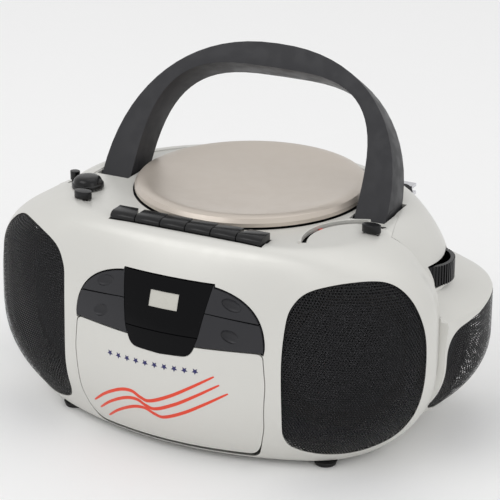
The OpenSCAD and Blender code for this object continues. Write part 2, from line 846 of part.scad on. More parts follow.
// ---- deck controls ----
module volume_knob() {
  color([0.05, 0.05, 0.06])
    translate([volume_xy[0], volume_xy[1], 0]) {
      translate([0, 0, deck_h + 0.4])
        rotate_extrude()
          polygon([[0, 0], [volume_r, 0], [volume_r, 3.2], [volume_r - 0.8, 4.4],
            [volume_r - 3, 6.2], [volume_r - 6, 7.2], [0, 7.6]]);
      translate([0, 0, deck_h - 13]) cylinder(r = 3, h = 14);
    }
}

module volume_pot() {
    translate([volume_xy[0], volume_xy[1], 0])
      difference() {
        box([-6.5, -6.5, deck_h - 16], [6.5, 6.5, deck_h - 8]);
        translate([0, 0, deck_h - 13.5]) cylinder(r = 3 + run_gap, h = 14);
      }
}

module slide_knob(p, w, d, h) {
  color([0.05, 0.05, 0.06])
    translate([p[0], p[1], 0]) {
      translate([0, 0, deck_h + 0.4])
        intersection() {
          scale([w / d, 1, 1]) cylinder(r = d / 2, h = h);
          box([-w / 2, -d / 2, 0], [w / 2, d / 2, h]);
        }
      box([-2.2, -1.4, deck_h - 10], [2.2, 1.4, deck_h + 1]);
    }
}

module function_knob() {
  slide_knob(function_xy, 13, 7.5, 5);
}

module tone_knob() {
  slide_knob(tone_xy, 7, 6, 6);
}

module band_knob() {
  slide_knob(band_xy, 13, 8, 5.2);
}

module slide_switches() {
    for (p = [function_xy, tone_xy, band_xy])
      translate([p[0], p[1], 0])
        difference() {
          box([-knob_travel - 3.4, -3.4, deck_h - 13], [knob_travel + 3.4, 3.4, deck_h - wall - 5]);
          box([-knob_travel - 2.4, -1.8, deck_h - 11], [knob_travel + 2.4, 1.8, deck_h]);
        }
}

module tuning_wheel() {
  color([0.05, 0.05, 0.06])
    translate([wheel_xy[0], wheel_xy[1], 0])
      difference() {
        union() {
          translate([0, 0, wheel_z[0]]) cylinder(r = wheel_r, h = wheel_z[1] - wheel_z[0]);
        }
        translate([0, 0, wheel_z[0] - 1]) cylinder(r = 2.5 + run_gap, h = 40);
        translate([0, 0, wheel_z[0] + 3]) difference() {
          cylinder(r = wheel_r - 3, h = 40);
          translate([0, 0, -1]) cylinder(r = 6, h = 50);
        }
      }
}

module tuning_post() {
    translate([wheel_xy[0], wheel_xy[1], 0]) {
      translate([0, 0, wheel_z[0] - 6]) cylinder(r = 2.5, h = wheel_z[1] - wheel_z[0] + 6);
      translate([-14, -7, wheel_z[0] - 8]) cube([20, 14, 6]);
    }
}

module tuning_pointer() {
  color([0.85, 0.3, 0.15])
    translate([dial_xy[0], dial_xy[1], 0])
      difference() {
        union() {
          translate([0, 0, deck_h - 14]) cylinder(r = 5, h = 3);
          rotate([0, 0, pointer_a])
            box([0, -1.5, deck_h - 14], [dial_r + 0.8, 1.5, deck_h - 12.4]);
          rotate([0, 0, pointer_a])
            box([dial_r - 0.8, -1.5, deck_h - 14], [dial_r + 0.8, 1.5, deck_h - 1.2]);
        }
        translate([0, 0, deck_h - 20]) cylinder(r = 2 + run_gap, h = 20);
      }
}

pointer_a = 160;

module tuning_gang() {
    translate([dial_xy[0], dial_xy[1], 0]) {
      translate([-9, -9, deck_h - 31]) cube([18, 18, 16]);
      translate([0, 0, deck_h - 16]) cylinder(r = 2, h = 6);
    }
}

module deck_controls() {
  color([0.5, 0.5, 0.5]) {
    volume_pot();
    slide_switches();
    tuning_post();
    tuning_gang();
  }
}

// ---- disc player ----
module cd_lid() {
  color([0.8, 0.78, 0.74])
    difference() {
      union() {
        translate([0, lid_y, 0])
          rotate_extrude($fn = 120)
            polygon([[0, lid_top - 3.4], [0.4 * lid_r, lid_top - 3], [0.72 * lid_r, lid_top - 1.6],
              [0.88 * lid_r, lid_top - 0.3], [0.93 * lid_r, lid_top], [lid_r - 2, lid_top - 1.2],
              [lid_r, lid_top - 4], [lid_r, deck_h + 0.5], [lid_r - 1.6, deck_h + 0.5],
              [lid_r - 1.6, lid_top - lid_t - 2.2], [0.9 * lid_r, lid_top - lid_t - 0.4],
              [0.72 * lid_r, lid_top - lid_t - 1.8], [0, lid_top - lid_t - 3.4]]);
        for (x = [-1, 1])
          translate([x * lid_hinge_x, 0, 0]) {
            box([-4, lid_hinge[0] - 5, deck_h + 0.4], [4, lid_hinge[0] - 1.2, lid_top - 3]);
            box([-4, lid_hinge[0] - 5, lid_hinge[1] - 1.5], [4, lid_hinge[0], deck_h + 0.5]);
            translate([0, lid_hinge[0], lid_hinge[1]]) bar_x(3.2, -4, 4);
          }
      }
      translate([0, lid_hinge[0], lid_hinge[1]]) bar_x(hinge_r + run_gap, -body_w, body_w);
    }
}

module disc_clamp() {
  color([0.1, 0.1, 0.1])
    translate([0, lid_y, 0]) {
      translate([0, 0, deck_h - 3.2]) cylinder(r = 15, h = 2.2);
      translate([0, 0, deck_h - 1.2]) cylinder(r = 5, h = lid_top - lid_t - 3.4 - deck_h + 1.2);
    }
}

module lid_blocks() {
    for (x = [-1, 1])
      for (s = [-1, 1])
        translate([x * lid_hinge_x + s * 7, lid_hinge[0], lid_hinge[1]])
          difference() {
            box([-1.2, -3, -8], [1.2, 2, -1.2 + 2.3]);
            bar_x(hinge_r + 0.02, -5, 5);
          }
}

module cd_well() {
  color([0.14, 0.14, 0.15])
    difference() {
      intersection() {
        translate([0, lid_y, 0])
          rotate_extrude($fn = 120)
            polygon([[0, well_floor - 1.6], [well_r, well_floor - 1.6], [well_r, deck_h - wall - 1.8],
              [lid_r + 5, deck_h - wall - 1.8], [lid_r + 5, deck_h - wall - 0.1],
              [well_r - 1.6, deck_h - wall - 0.1], [well_r - 1.6, well_floor + 3],
              [well_r - 5, well_floor], [0, well_floor]]);
        box([bracket_t + 0.3 - leg_half + leg_w / 2 + slot_gap, key_back + 1.8, 0],
          [leg_half - leg_w / 2 - slot_gap - bracket_t - 0.3, lid_hinge[0] - 9, deck_h]);
      }
      translate([0, lid_y, 0]) cylinder(r = 19, h = deck_h);
      box([17, lid_y - 16, 0], [58, lid_y + 16, deck_h]);
    }
}

module cd_turntable() {
  color([0.12, 0.12, 0.12])
    translate([0, lid_y, 0]) {
      translate([0, 0, well_floor - 8]) cylinder(r = spindle_r, h = 9);
      translate([0, 0, well_floor + 0.6]) cylinder(r = 15, h = 2);
      translate([0, 0, well_floor + 2.5]) cylinder(r1 = 7.3, r2 = 6, h = 3);
    }
}

module cd_chassis() {
  color([0.3, 0.3, 0.32])
    difference() {
      union() {
        box([-34, lid_y - 26, well_floor - 18], [74, lid_y + 26, well_floor - 16]);
        for (x = [-30, 70])
          for (y = [-22, 22])
            translate([x, lid_y + y, well_floor - 17]) cylinder(r = 3.2, h = 17 - 1.6);
        translate([0, lid_y, well_floor - 16.5]) cylinder(r = 13, h = 13.5);
        for (s = [-1, 1])
          for (x = rail_x)
            box([x, lid_y + s * rail_y - 2.5, well_floor - 16.5],
              [x + 3, lid_y + s * rail_y + 2.5, well_floor - 6.5]);
      }
      box([22, lid_y - 11, 0], [62, lid_y + 11, deck_h]);
      translate([0, lid_y, well_floor - 9]) cylinder(r = spindle_r + run_gap, h = 20);
      for (s = [-1, 1])
        translate([0, lid_y + s * rail_y, rail_z]) bar_x(rail_r + 0.02, 14, 90);
    }
}

module steel_rods() {
  color([0.7, 0.7, 0.72]) {
    translate([0, key_axis[0], key_axis[1]])
      bar_x(key_shaft_r, -key_half - cheek_t, key_half + cheek_t);
    for (s = [-1, 1])
      translate([0, lid_y + s * rail_y, rail_z]) bar_x(rail_r, rail_x[0], rail_x[1] + 3);
    translate([roller[0], 0, roller[1]])
      bolt_y(roller_pin_r, tape_mid_y - 5.4, chassis_y + chassis_t);
  }
}

module laser_pickup() {
  color([0.1, 0.1, 0.11])
    difference() {
      union() {
        box([22, lid_y - 18, well_floor - 12], [36, lid_y + 18, well_floor - 6]);
        box([22, lid_y - 9, well_floor - 12], [36, lid_y + 9, well_floor - 2.5]);
        translate([29, lid_y, well_floor - 3]) cylinder(r = 4, h = 2.5);
      }
      for (s = [-1, 1])
        translate([0, lid_y + s * rail_y, rail_z]) bar_x(rail_r + run_gap, 0, 90);
    }
}

// ---- handle ----
function arch_out(a) = [(leg_half + leg_w / 2 + 0.3) * pow(abs(cos(a)), 2 / 2.25) * sign(cos(a)),
  handle_reach * pow(sin(a), 2 / 2.25)];
function arch_in(a) = [(leg_half - leg_w / 2 - 0.1) * pow(abs(cos(a)), 2 / 3.4) * sign(cos(a)),
  (handle_reach - 17) * pow(sin(a), 2 / 3.4)];

module handle() {
  color([0.2, 0.2, 0.21])
    translate([0, pivot_y, pivot_z])
      rotate([-handle_lean, 0, 0])
        difference() {
          union() {
            translate([0, handle_t / 2, 0])
              rotate([90, 0, 0])
                linear_extrude(handle_t)
                  polygon(concat([for (a = [0 : 5 : 180]) arch_out(a)],
                    [for (a = [180 : -5 : 0]) arch_in(a)]));
            both_sides()
              bar_x(handle_t / 2, leg_half - leg_w / 2 - 0.1, leg_half + leg_w / 2 + 0.3);
          }
          bar_x(pivot_r + run_gap, -body_w, body_w);
        }
}

module handle_brackets() {
    both_sides()
      difference() {
        box([leg_half - leg_w / 2 - slot_gap - bracket_t, slot_front - 2, pivot_z - 15.5],
          [leg_half + leg_w / 2 + slot_gap + bracket_t, slot_back + 1.6, deck_h - wall - 0.3]);
        box([leg_half - leg_w / 2 - slot_gap, slot_front, pivot_z - 13.2],
          [leg_half + leg_w / 2 + slot_gap, slot_back, deck_h]);
        translate([0, pivot_y, pivot_z]) bar_x(pivot_r + 0.02, 0, body_w);
      }
}

// ---- antenna ----
module antenna_bush() {
    translate([ant[0], 0, ant[2]])
      difference() {
        union() {
          bolt_y(5.6, ant[1] - 22 * ky, ant[1] - 5.2);
        }
        bolt_y(2.5 + run_gap, 0, body_d);
      }
}

module antenna_swivel() {
  color([0.85, 0.85, 0.87])
    translate([ant[0], 0, ant[2]]) {
      bolt_y(2.5, ant[1] - 20 * ky, ant[1] - 4);
      bolt_y(4.4, ant[1] - 4.9, ant[1] - 3.9);
      for (s = [-1, 1])
        box([-5, ant[1] - 4.2, s * 2.9 - 1.1], [4.5, ant[1] + 3.8, s * 2.9 + 1.1]);
      translate([0, ant[1], -4]) cylinder(r = 1.3, h = 8);
    }
}

module antenna_tube_outer() {
  color([0.85, 0.85, 0.87])
    translate(ant)
      difference() {
        union() {
          box([-12, -3, -1.6], [0, 3, 1.6]);
          translate([0, 0, -1.6]) cylinder(r = 3, h = 3.2);
          bar_x(antenna_r, -antenna_len, -8);
        }
        translate([0, 0, -9]) cylinder(r = 1.3 + run_gap, h = 18);
        bar_x(antenna_r - ant_step + 0.05, -antenna_len - 1, -14);
      }
}

module antenna_section(r, n) {
  color([0.85, 0.85, 0.87])
    translate(ant)
      difference() {
        bar_x(r, -antenna_len - 2 * n, -14 - 2 * n);
        if (n < 2)
          bar_x(r - ant_step + 0.05, -antenna_len - 20, -18);
      }
}

module antenna_tube_middle() {
  antenna_section(antenna_r - ant_step, 1);
}

module antenna_tip() {
  antenna_section(antenna_r - 2 * ant_step, 2);
  color([0.85, 0.85, 0.87])
    translate(ant) bar_x(antenna_r, -antenna_len - 6 - ant_tip, -antenna_len - 5.8);
}

// ---- shared hinge parts ----
module hinge_pins() {
  color([0.6, 0.6, 0.62]) {
    both_sides()
      translate([0, pivot_y, pivot_z])
        bar_x(pivot_r, leg_half - leg_w / 2 - slot_gap - bracket_t,
          leg_half + leg_w / 2 + slot_gap + bracket_t);
    for (x = [-1, 1]) {
      translate([x * door_hinge_x, door_axis[0], door_axis[1]]) bar_x(hinge_r, -8, 8);
      translate([x * lid_hinge_x, lid_hinge[0], lid_hinge[1]]) bar_x(hinge_r, -8, 8);
    }
  }
}

module hinge_brackets() {
  color([0.1, 0.1, 0.1]) {
    handle_brackets();
    door_blocks();
    lid_blocks();
    antenna_bush();
  }
}

// ---- electronics ----
module main_board() {
  color([0.1, 0.3, 0.16])
    difference() {
      box([-76 * kx, -38 * ky, 12 * kz], [76 * kx, -38 * ky + 1.6, 104 * kz]);
      for (x = [-1, 1])
        for (z = [18 * kz, 98 * kz])
          translate([x * 70 * kx, 0, z]) bolt_y(1.8, -body_d, 0);
    }
}

module power_transformer() {
  color([0.45, 0.45, 0.46])
    translate([-52 * kx, 36 * ky, 42 * kz]) {
      cube([40 * kx, 30 * ky, 30 * kz]);
    }
}

module power_inlet() {
  color([0.08, 0.08, 0.08])
    translate([-60 * kx, 0, 36 * kz]) {
      difference() {
        box([-11, inlet_y - 18, -7.5], [11, inlet_y, 7.5]);
        box([-8, inlet_y - 12, -4.6], [8, inlet_y + 1, 4.6]);
      }
    }
}

inlet_y = 99 * ky;

front_cabinet();
rear_cabinet();
battery_door();
battery_box();
rubber_feet();
case_screws();
front_grilles();
rear_grilles();
speaker_baffles();
front_drivers();
rear_drivers();
speaker_cones();
cassette_door();
cassette_window();
cassette_holder();
hinge_pins();
hinge_brackets();
tape_chassis();
supply_reel_hub();
take_up_reel_hub();
capstan_flywheel();
tape_motor();
head_bridge();
pinch_roller();
upper_left_button();
lower_left_button();
upper_right_button();
lower_right_button();
button_bezel();
display_lens();
lcd_module();
key_record();
key_play();
key_rewind();
key_fast_forward();
key_stop_eject();
key_pause();
steel_rods();
volume_knob();
function_knob();
tone_knob();
band_knob();
deck_controls();
tuning_wheel();
tuning_pointer();
cd_lid();
disc_clamp();
cd_well();
cd_chassis();
cd_turntable();
laser_pickup();
handle();
antenna_swivel();
antenna_tube_outer();
antenna_tube_middle();
antenna_tip();
main_board();
power_transformer();
power_inlet();
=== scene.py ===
import json
import math

import bmesh
import bpy
import numpy as np
from mathutils import Matrix, Vector

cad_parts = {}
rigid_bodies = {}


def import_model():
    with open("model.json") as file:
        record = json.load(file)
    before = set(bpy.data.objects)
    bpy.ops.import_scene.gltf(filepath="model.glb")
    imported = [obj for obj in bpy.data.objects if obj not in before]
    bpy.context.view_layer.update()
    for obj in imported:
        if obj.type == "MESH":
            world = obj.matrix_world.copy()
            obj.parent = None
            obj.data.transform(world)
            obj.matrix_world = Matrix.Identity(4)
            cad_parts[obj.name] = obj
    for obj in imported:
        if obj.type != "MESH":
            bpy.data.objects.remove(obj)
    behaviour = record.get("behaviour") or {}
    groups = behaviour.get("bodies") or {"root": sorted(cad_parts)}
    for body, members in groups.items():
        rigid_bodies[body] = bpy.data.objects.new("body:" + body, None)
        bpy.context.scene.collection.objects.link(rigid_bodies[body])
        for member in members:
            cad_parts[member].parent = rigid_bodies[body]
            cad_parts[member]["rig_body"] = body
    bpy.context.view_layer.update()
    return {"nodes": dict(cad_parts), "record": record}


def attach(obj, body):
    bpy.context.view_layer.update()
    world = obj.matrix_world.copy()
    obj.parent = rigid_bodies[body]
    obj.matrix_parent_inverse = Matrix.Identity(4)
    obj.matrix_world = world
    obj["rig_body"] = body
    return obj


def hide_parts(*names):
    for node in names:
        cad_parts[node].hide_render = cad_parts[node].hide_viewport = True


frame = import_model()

MM = 0.001
FOOT, DECK, WALL = 3.0, 151.0, 2.6  # heights of the base and the deck, thickness of the case
LID_Y, LID_HOLE = 16, 81.2  # middle and radius of the round opening for the disc lid
LEG_X, LEG_GAP = 96.2, 12.5  # middle of a handle leg and half its slot
POST_X, POST_HEIGHTS = 88, (24, 117)  # screw posts
VOLUME, FUNCTION, TONE, BAND = (-99, -36), (-90, -57), (-114, -28), (108, -27)
DIAL, DIAL_R = (110, -46), 37
WHEEL, WHEEL_R = (127, 14), 22
FRONT_X, FRONT_Y = 4, 2.55  # powers of the front's rounded plan
POD_TURN = math.radians(37)  # how far a front pod faces outwards
DOOR_PIVOT = (-90, 13)  # Y and height of the cassette door's hinge
LID_HINGE_X, DOOR_HINGE_X = 14, 34
SEAM, TOP_SEAM = -22.0, 8.0  # Y of the joint between the shells, at the sides and across the middle
FRONT_EDGE, REAR_EDGE = -0.15, 0.35  # where each shell ends, behind the seam line
TAU = 2 * math.pi


# ---- materials ----
MIX_A, MIX_B, MIX_COLOUR = 6, 7, 2  # the colour sockets of a Mix node


def srgb(r, g, b):
    return tuple(((c / 255 + 0.055) / 1.055) ** 2.4 if c > 10 else c / 3294 for c in (r, g, b)) + (1.0,)


class Signal:
    """A socket that can be used in sums."""

    def __init__(self, mat, socket):
        self.mat, self.socket = mat, socket

    def maths(self, operation, *values):
        return self.mat.node("ShaderNodeMath", {"operation": operation}, dict(enumerate(values)))

    def __add__(self, other):
        return self.maths("ADD", self, other)

    def __radd__(self, other):
        return self.maths("ADD", other, self)

    def __sub__(self, other):
        return self.maths("SUBTRACT", self, other)

    def __rsub__(self, other):
        return self.maths("SUBTRACT", other, self)

    def __mul__(self, other):
        return self.maths("MULTIPLY", self, other)

    def __rmul__(self, other):
        return self.maths("MULTIPLY", other, self)

    def __truediv__(self, other):
        return self.maths("DIVIDE", self, other)

    def __rtruediv__(self, other):
        return self.maths("DIVIDE", other, self)

    def __pow__(self, other):
        return self.maths("POWER", self, other)

    def __rpow__(self, other):
        return self.maths("POWER", other, self)

    def __abs__(self):
        return self.maths("ABSOLUTE", self)

    def fract(self):
        return self.maths("FRACT", self)

    def least(self, other):
        return self.maths("MINIMUM", self, other)

    def over(self, edge, soft):
        """0 below edge, 1 above it, over a soft step."""
        return self.mat.node(
            "ShaderNodeMapRange",
            {"interpolation_type": "SMOOTHSTEP"},
            {"Value": self, "From Min": edge - soft, "From Max": edge + soft},
        )


class Finish:
    """One material: a Principled shader and the nodes that drive it."""

    def __init__(self, name, **constants):
        self.material = bpy.data.materials.new(name)
        self.material.use_nodes = True
        self.tree = self.material.node_tree
        self.shader = self.tree.nodes["Principled BSDF"]
        self.feed(constants)
        self.place = self.node("ShaderNodeTexCoord", output="Object")

    def feed(self, values, node=None):
        """Values or links into the sockets of a node, or of the shader."""
        node = node or self.shader
        for key, value in values.items():
            key = key.replace("_", " ") if isinstance(key, str) else key
            if isinstance(value, Signal):
                self.tree.links.new(value.socket, node.inputs[key])
            else:
                node.inputs[key].default_value = value

    def node(self, kind, settings=None, values=None, output=0):
        """A new node with its settings and its sockets filled, as a Signal from one output."""
        made = self.tree.nodes.new(kind)
        for key, value in (settings or {}).items():
            setattr(made, key, value)
        self.feed(values or {}, made)
        return Signal(self, made.outputs[output])

    def noise(self, size_mm, detail):
        return self.node(
            "ShaderNodeTexNoise", {}, {"Vector": self.place, "Scale": 1000 / size_mm, "Detail": detail})

    def blend(self, factor, a, b):
        """Colour a where factor is 0, colour b where it is 1."""
        return self.node(
            "ShaderNodeMix", {"data_type": "RGBA"}, {0: factor, MIX_A: a, MIX_B: b}, MIX_COLOUR)

    def bump(self, height, depth_mm, strength):
        return self.node(
            "ShaderNodeBump", {}, {"Height": height, "Distance": depth_mm * MM, "Strength": strength}
        )

    def axes(self):
        """X, Y and Z of the place on the object, in metres."""
        split = self.node("ShaderNodeSeparateXYZ", {}, {"Vector": self.place})
        return [Signal(self, socket) for socket in split.socket.node.outputs]


def shade(colour, k):
    """The colour made k times as bright."""
    return tuple(min(1.0, c * k) for c in colour[:3]) + (1.0,)


def moulded(name, colour, rough, grain, depth, vary=0.05, metal=0.0, wear=0.08, **constants):
    """Moulded, painted or plated surface: fine grain, broad colour drift and handling marks."""
    f = Finish(name, Metallic=metal, **constants)
    broad, fine, marks = f.noise(45, 3), f.noise(grain, 2), f.noise(9, 6)
    speck = f.blend(fine, shade(colour, 1 - vary), shade(colour, 1 + vary))
    f.feed({
        "Base Color": f.blend(broad, speck, shade(colour, 1 + 0.6 * vary)),
        "Roughness": (rough - 0.5 * wear) + wear * marks.over(0.5, 0.12) + 0.06 * fine,
        "Normal": f.bump(fine, depth, 0.5),
    })
    return f.material


def perforated(name, colour, pitch_mm, hole, side):
    """Steel mesh with round holes in a hexagonal layout, which follows the pod or the flank."""
    f = Finish(name, Metallic=0.0, Specular_IOR_Level=0.3)
    x, y, z = f.axes()
    run = (abs(x) * math.cos(POD_TURN) + y * math.sin(POD_TURN)) if side == "pod" else y
    u, v = run / (pitch_mm * MM), z / (pitch_mm * 3 ** 0.5 * MM)

    def spot(shift):
        du, dv = (u + shift).fract() - 0.5, (v + shift).fract() - 0.5
        return (du * du + 3.0 * dv * dv) ** 0.5

    near = spot(10.0).least(spot(10.5))
    solid = near.over(hole, 0.05)
    fine = f.noise(1.2, 3)
    f.feed({
        "Base Color": f.blend(fine, shade(colour, 0.8), shade(colour, 1.25)),
        "Roughness": 0.42 + 0.12 * f.noise(14, 3),
        "Alpha": solid,
        "Normal": f.bump(near.over(hole + 0.07, 0.1), 0.25, 0.8),
    })
    return f.material


def turned(name, colour, rough, metal=1.0):
    """Machined or drawn metal with fine rings of tool marks."""
    f = Finish(name, Metallic=metal)
    fine = f.noise(0.5, 4)
    f.feed({
        "Base Color": f.blend(f.noise(20, 4), shade(colour, 0.9), colour),
        "Roughness": rough + 0.1 * fine + 0.08 * f.noise(6, 5),
        "Normal": f.bump(fine, 0.01, 0.5),
    })
    return f.material


SILVER = srgb(214, 213, 208)
FINISHES = {
    "silver_case": moulded("silver_case", SILVER, 0.36,
                           grain=0.35, depth=0.008, vary=0.025, metal=0.28, wear=0.05,
                           Coat_Weight=0.15, Coat_Roughness=0.25),
    "silver_lid": moulded("silver_lid", srgb(201, 191, 180), 0.3,
                          grain=0.35, depth=0.008, vary=0.03, metal=0.45, wear=0.06, Coat_Weight=0.2,
                          Coat_Roughness=0.2),
    "grille_black": moulded("grille_black", srgb(14, 14, 17), 0.5,
                            grain=0.8, depth=0.02, Specular_IOR_Level=0.25),
    "black_plastic": moulded("black_plastic", srgb(20, 20, 22), 0.5,
                             grain=0.7, depth=0.03, Specular_IOR_Level=0.3),
    "black_gloss": moulded("black_gloss", srgb(9, 9, 11), 0.2,
                           grain=0.9, depth=0.003, vary=0.1, metal=0.0, wear=0.05,
                           Specular_IOR_Level=0.3, Coat_Weight=0.12, Coat_Roughness=0.08),
    "button_grey": moulded("button_grey", srgb(46, 46, 49), 0.34,
                           grain=0.6, depth=0.01, vary=0.08, metal=0.1, Specular_IOR_Level=0.3),
    "smoked_lens": moulded("smoked_lens", srgb(6, 6, 8), 0.12,
                           grain=2.0, depth=0.002, vary=0.1, metal=0.0, wear=0.03,
                           Specular_IOR_Level=0.12),
    "handle_charcoal": moulded("handle_charcoal", srgb(42, 42, 45), 0.42,
                               grain=0.6, depth=0.03, vary=0.08, metal=0.0, wear=0.1,
                               Specular_IOR_Level=0.3),
    "rubber_black": moulded("rubber_black", srgb(24, 24, 24), 0.75, grain=1.2, depth=0.06),
    "steel": turned("steel", srgb(172, 172, 176), 0.3),
    "chrome_tube": turned("chrome_tube", srgb(214, 214, 218), 0.12),
    "driver_steel": turned("driver_steel", srgb(150, 150, 156), 0.38, metal=0.9),
    "paper_cone": moulded("paper_cone", srgb(84, 84, 88), 0.8, grain=1.6, depth=0.12, vary=0.2),
    "hub_plastic": moulded("hub_plastic", srgb(225, 224, 218), 0.4, grain=0.8, depth=0.01),
    "brass_wheel": turned("brass_wheel", srgb(196, 160, 92), 0.28),
    "board_green": moulded("board_green", srgb(40, 96, 58), 0.45, grain=2.5, depth=0.05, vary=0.2),
    "fibreboard": moulded("fibreboard", srgb(54, 47, 40), 0.85, grain=1.2, depth=0.1, vary=0.2),
    "grey_plastic": moulded("grey_plastic", srgb(120, 120, 122), 0.45, grain=0.7, depth=0.03),
    "lcd_glass": moulded("lcd_glass", srgb(196, 194, 186), 0.25,
                         grain=3.0, depth=0.002, vary=0.03, metal=0.0, wear=0.03, Coat_Weight=0.4),
    "pointer_red": moulded("pointer_red", srgb(205, 52, 34), 0.35, grain=0.8, depth=0.01),
}
POD_MESH = perforated("pod_mesh", srgb(13, 13, 16), pitch_mm=1.9, hole=0.34, side="pod")
SIDE_MESH = perforated("side_mesh", srgb(13, 13, 16), pitch_mm=1.9, hole=0.34, side="flank")
STRIPE = moulded("stripe_print", srgb(226, 66, 38), 0.4, grain=0.6, depth=0.004, vary=0.05)
NAVY = moulded("star_print", srgb(34, 34, 92), 0.4, grain=0.6, depth=0.004, vary=0.08)


# ---- outer form of the case, in millimetres ----
def clipped(t):
    return np.clip(t, 0, 1)


def shelf(h):
    t = clipped((h - 93) / 15)
    return t * t * (3 - 2 * t)


def front_size(h):
    width = 168 - 48 * clipped((74 - h) / 74) ** 2.4 - 52 * clipped((h - 80) / 71) ** 4.4
    depth = 103 - 20 * clipped((60 - h) / 60) ** 2.3 - 18 * clipped((h - 60) / 91) ** 2.6
    return width, depth, 14 * clipped(1 - ((h - 62) / 100) ** 2)


def rear_size(h):
    width = 171 - 60 * clipped((66 - h) / 66) ** 2.3 - 24 * shelf(h) - 28 * clipped((h - 106) / 45) ** 2.2
    depth = 108 - 24 * clipped((60 - h) / 60) ** 2.2 - 7 * clipped((h - 70) / 81) ** 2.4
    return width, depth


def low_fade(h):
    return clipped(h / 30) * clipped((151 - h) / 18)


def waist_front(y, h):
    return 12 * np.exp(-(((y + 22) / 15) ** 2)) * low_fade(h)


def waist_rear(y, h):
    return 12 * (1 - 0.7 * clipped((h - 75) / 76)) * np.exp(-(((y + 22) / 22) ** 2)) * low_fade(h)


def bump_out(x):
    return clipped(1 - (x / 90) ** 2) ** 2


FRONT_STEPS, REAR_STEPS = 64, 52


def half_ring(h, o):
    """Plan points of the right half at height h, drawn in by o, from front middle to back middle."""
    w, d, belly = front_size(h)
    w, d = w - o, d - o
    t_end = math.acos((-SEAM / d) ** (FRONT_Y / 2))
    t = t_end * (np.arange(FRONT_STEPS + 1) / FRONT_STEPS) ** 1.35
    y0 = -d * np.cos(t) ** (2 / FRONT_Y)
    x = w * np.sin(t) ** (2 / FRONT_X) - waist_front(y0, h)
    front = np.stack([x, y0 - belly * bump_out(x)], 1)
    w, d = rear_size(h)
    w, d = w - o, d - o
    y = np.linspace(SEAM + 2, 0, 9)[:-1]
    side = np.stack([w - waist_rear(y, h), y], 1)
    t = math.pi / 2 * (1 - (1 - np.arange(REAR_STEPS + 1) / REAR_STEPS) ** 1.35)
    y = d * np.sin(t) ** (2 / (2.9 - 0.9 * shelf(h)))
    x = w * np.maximum(0, np.cos(t)) ** (2 / (3.4 - 1.2 * shelf(h))) - waist_rear(y, h)
    x[-1] = 0
    return np.concatenate([front, side, np.stack([x, y], 1)])


def ring(h, o):
    half = half_ring(h, o)
    return np.concatenate([half, half[-2:0:-1] * [-1, 1]])


def drawn_in(points, d):
    """The same ring, moved in by d along its normals."""
    along = np.roll(points, -1, 0) - np.roll(points, 1, 0)
    along /= np.maximum(np.linalg.norm(along, axis=1, keepdims=True), 1e-9)
    return points - d * np.stack([along[:, 1], -along[:, 0]], 1)


def form_rows(o, soft_top=7.0, soft_low=5.0, step=True):
    """Rings from the floor of the case to its deck, with rolled edges and the shallow deck step."""
    low, top = FOOT + o, DECK - o
    rows = []

    def roll(z_wall, z_flat, radius, order):
        wall, corner = ring(z_wall, o), ring(z_flat, o)
        flat = drawn_in(corner, radius)
        for t in np.linspace(0, 1, 9)[::order]:
            rows.append((
                (1 - t) ** 2 * wall + 2 * t * (1 - t) * corner + t * t * flat,
                (1 - t) ** 2 * z_wall + (1 - (1 - t) ** 2) * z_flat,
            ))

    rows.append((drawn_in(ring(low, o), soft_low + 4), low))
    roll(low + soft_low, low, soft_low, -1)
    middle = np.arange(low + soft_low + 3, top - soft_top - 1.5, 3.0)
    rows.extend((ring(z, o), z) for z in middle)
    roll(top - soft_top, top, soft_top, 1)
    edge = ring(top, o)
    if step:
        rows.append((drawn_in(edge, soft_top + 2.2), top))
        rows.append((drawn_in(edge, soft_top + 2.8), top - 0.7))
        rows.append((drawn_in(edge, soft_top + 5), top - 0.7))
    else:
        rows.append((drawn_in(edge, soft_top + 4), top))
    return rows


def outward(bm):
    """Every face of a closed shape made to point outwards."""
    bm.normal_update()
    bmesh.ops.recalc_face_normals(bm, faces=bm.faces)
    if bm.calc_volume(signed=True) < 0:
        bmesh.ops.reverse_faces(bm, faces=bm.faces)


def finished(bm, name):
    """A mesh object in metres from a bmesh in millimetres."""
    bmesh.ops.scale(bm, vec=(MM, MM, MM), verts=bm.verts)
    mesh = bpy.data.meshes.new(name)
    bm.to_mesh(mesh)
    bm.free()
    made = bpy.data.objects.new(name, mesh)
    bpy.context.scene.collection.objects.link(made)
    return made


def form(name, o, **kw):
    """The case as one closed solid, stacked ring on ring by extruding its edge loop."""
    rows = form_rows(o, **kw)
    bm = bmesh.new()
    tag = bm.verts.layers.int.new("place")
    made = bmesh.ops.create_circle(bm, segments=len(rows[0][0]), radius=10)
    loop = made["verts"]
    for i, v in enumerate(sorted(loop, key=lambda v: math.atan2(v.co.y, v.co.x) % TAU)):
        v[tag] = i
    edges = list(bm.edges)
    for k, (points, z) in enumerate(rows):
        if k:
            out = bmesh.ops.extrude_edge_only(bm, edges=edges)["geom"]
            loop = [g for g in out if isinstance(g, bmesh.types.BMVert)]
            edges = [g for g in out if isinstance(g, bmesh.types.BMEdge)]
        else:
            bmesh.ops.contextual_create(bm, geom=edges)
        for v in loop:
            v.co = (*points[v[tag]], z)
    bmesh.ops.contextual_create(bm, geom=edges)
    bmesh.ops.triangulate(bm, faces=[f for f in bm.faces if len(f.verts) > 4])
    outward(bm)
    return finished(bm, name)


